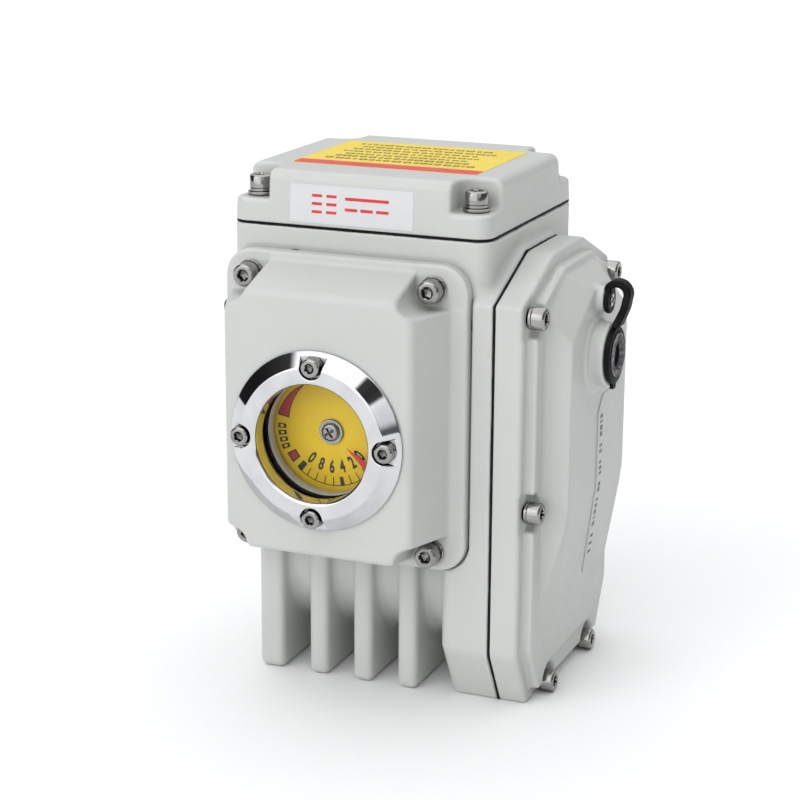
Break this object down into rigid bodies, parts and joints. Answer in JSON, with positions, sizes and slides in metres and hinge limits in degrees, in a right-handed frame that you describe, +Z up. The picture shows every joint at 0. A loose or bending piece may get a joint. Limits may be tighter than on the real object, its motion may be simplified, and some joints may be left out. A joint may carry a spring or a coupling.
{
  "type": "motorized valve actuator",
  "caption": "Quarter-turn electric valve actuator: cast housing with terminal lid, round position window, finned motor tube, gear case with a capped hand-drive port and a square output drive.",
  "frame": {"origin": "bottom centre of the bounding box, on the surface it stands on", "axes": "+Z up towards the terminal lid, +X towards the gear cover, +Y towards the valve; the dial faces -Y"},
  "size_m": [0.192, 0.1626, 0.2405],
  "materials": {
    "off_white_paint": "satin powder coat, slightly green grey",
    "stainless_screws": "bright stainless",
    "polished_ring": "mirror polish",
    "black_rubber": "matte",
    "window_glass": "clear",
    "yellow_dial": "printed, satin",
    "bronze": "machined",
    "black_plastic": "moulded",
    "circuit_board": "lacquered",
    "machined_steel": "machined"
  },
  "bodies": {
    "housing": {"bearing_plate": "machined_steel", "cable_gland_1": "black_plastic", "cable_gland_2": "black_plastic", "control_board": "circuit_board", "cover_screw_1": "stainless_screws", "cover_screw_2": "stainless_screws", "cover_screw_3": "stainless_screws", "cover_screw_4": "stainless_screws", "dial_cover": "off_white_paint", "dial_cover_gasket": "black_rubber", "earth_screw": "stainless_screws", "front_bush": "bronze", "gear_cover": "off_white_paint", "gear_cover_gasket": "black_rubber", "gear_screw_1": "stainless_screws", "gear_screw_2": "stainless_screws", "gear_screw_3": "stainless_screws", "gear_screw_4": "stainless_screws", "gear_screw_5": "stainless_screws", "gear_screw_6": "stainless_screws", "housing": "off_white_paint", "idler_pin": "machined_steel", "lid_gasket": "black_rubber", "lid_screw_1": "stainless_screws", "lid_screw_2": "stainless_screws", "lid_screw_3": "stainless_screws", "lid_screw_4": "stainless_screws", "limit_switch_closed": "black_plastic", "limit_switch_open": "black_plastic", "motor_body": "machined_steel", "motor_end_plate": "machined_steel", "plug_strap": "black_rubber", "rear_bush": "bronze", "ring_screw_1": "stainless_screws", "ring_screw_2": "stainless_screws", "ring_screw_3": "stainless_screws", "ring_screw_4": "stainless_screws", "strap_screw": "stainless_screws", "switch_bracket": "machined_steel", "terminal_block": "black_plastic", "terminal_lid": "off_white_paint", "window_glass": "window_glass", "window_ring": "polished_ring", "window_seal": "black_rubber", "worm_bearing_left": "bronze", "worm_bearing_right": "bronze"},
    "output": {"output_shaft": "machined_steel", "position_dial": "yellow_dial", "dial_screw": "stainless_screws", "cam_open": "black_plastic", "cam_closed": "black_plastic", "worm_wheel": "bronze"},
    "worm": {"worm_shaft": "machined_steel", "worm_drive_gear": "machined_steel"},
    "idler": {"idler_gear": "machined_steel"},
    "motor": {"motor_rotor": "machined_steel", "motor_pinion": "machined_steel"},
    "plug": {"port_plug": "black_rubber"},
    "button_open": {"switch_button_open": "black_plastic"},
    "button_closed": {"switch_button_closed": "black_plastic"}
  },
  "joints": [
    {"name": "worm_spin", "type": "hinge", "parent": "housing", "child": "worm", "pos_m": [-0.01903, 0.0113, 0.1585], "axis": [1, 0, 0], "range_deg": [-330, 2370]},
    {"name": "output_turn", "type": "hinge", "parent": "housing", "child": "output", "pos_m": [-0.01903, 0.0813, 0.128], "axis": [0, -1, 0], "range_deg": [-11, 79]},
    {"name": "idler_spin", "type": "hinge", "parent": "housing", "child": "idler", "pos_m": [0.03947, 0.02576, 0.10027], "axis": [1, 0, 0], "range_deg": [-1580, 220]},
    {"name": "motor_spin", "type": "hinge", "parent": "housing", "child": "motor", "pos_m": [-0.01903, 0.0098, 0.055], "axis": [1, 0, 0], "range_deg": [-660, 4740]},
    {"name": "plug_pull", "type": "slide", "parent": "housing", "child": "plug", "axis": [1, 0, 0], "range_m": [0, 0.016]},
    {"name": "open_button_press", "type": "slide", "parent": "housing", "child": "button_open", "axis": [1, 0, 0], "range_m": [0, 0.001], "stiffness_N_per_m": 300},
    {"name": "closed_button_press", "type": "slide", "parent": "housing", "child": "button_closed", "axis": [1, 0, 0], "range_m": [0, 0.001], "stiffness_N_per_m": 300}
  ],
  "couplings": [
    {"joint": "output_turn", "follows": "worm_spin", "ratio": 0.033333},
    {"joint": "idler_spin", "follows": "worm_spin", "ratio": -0.66667},
    {"joint": "motor_spin", "follows": "worm_spin", "ratio": 2}
  ]
}
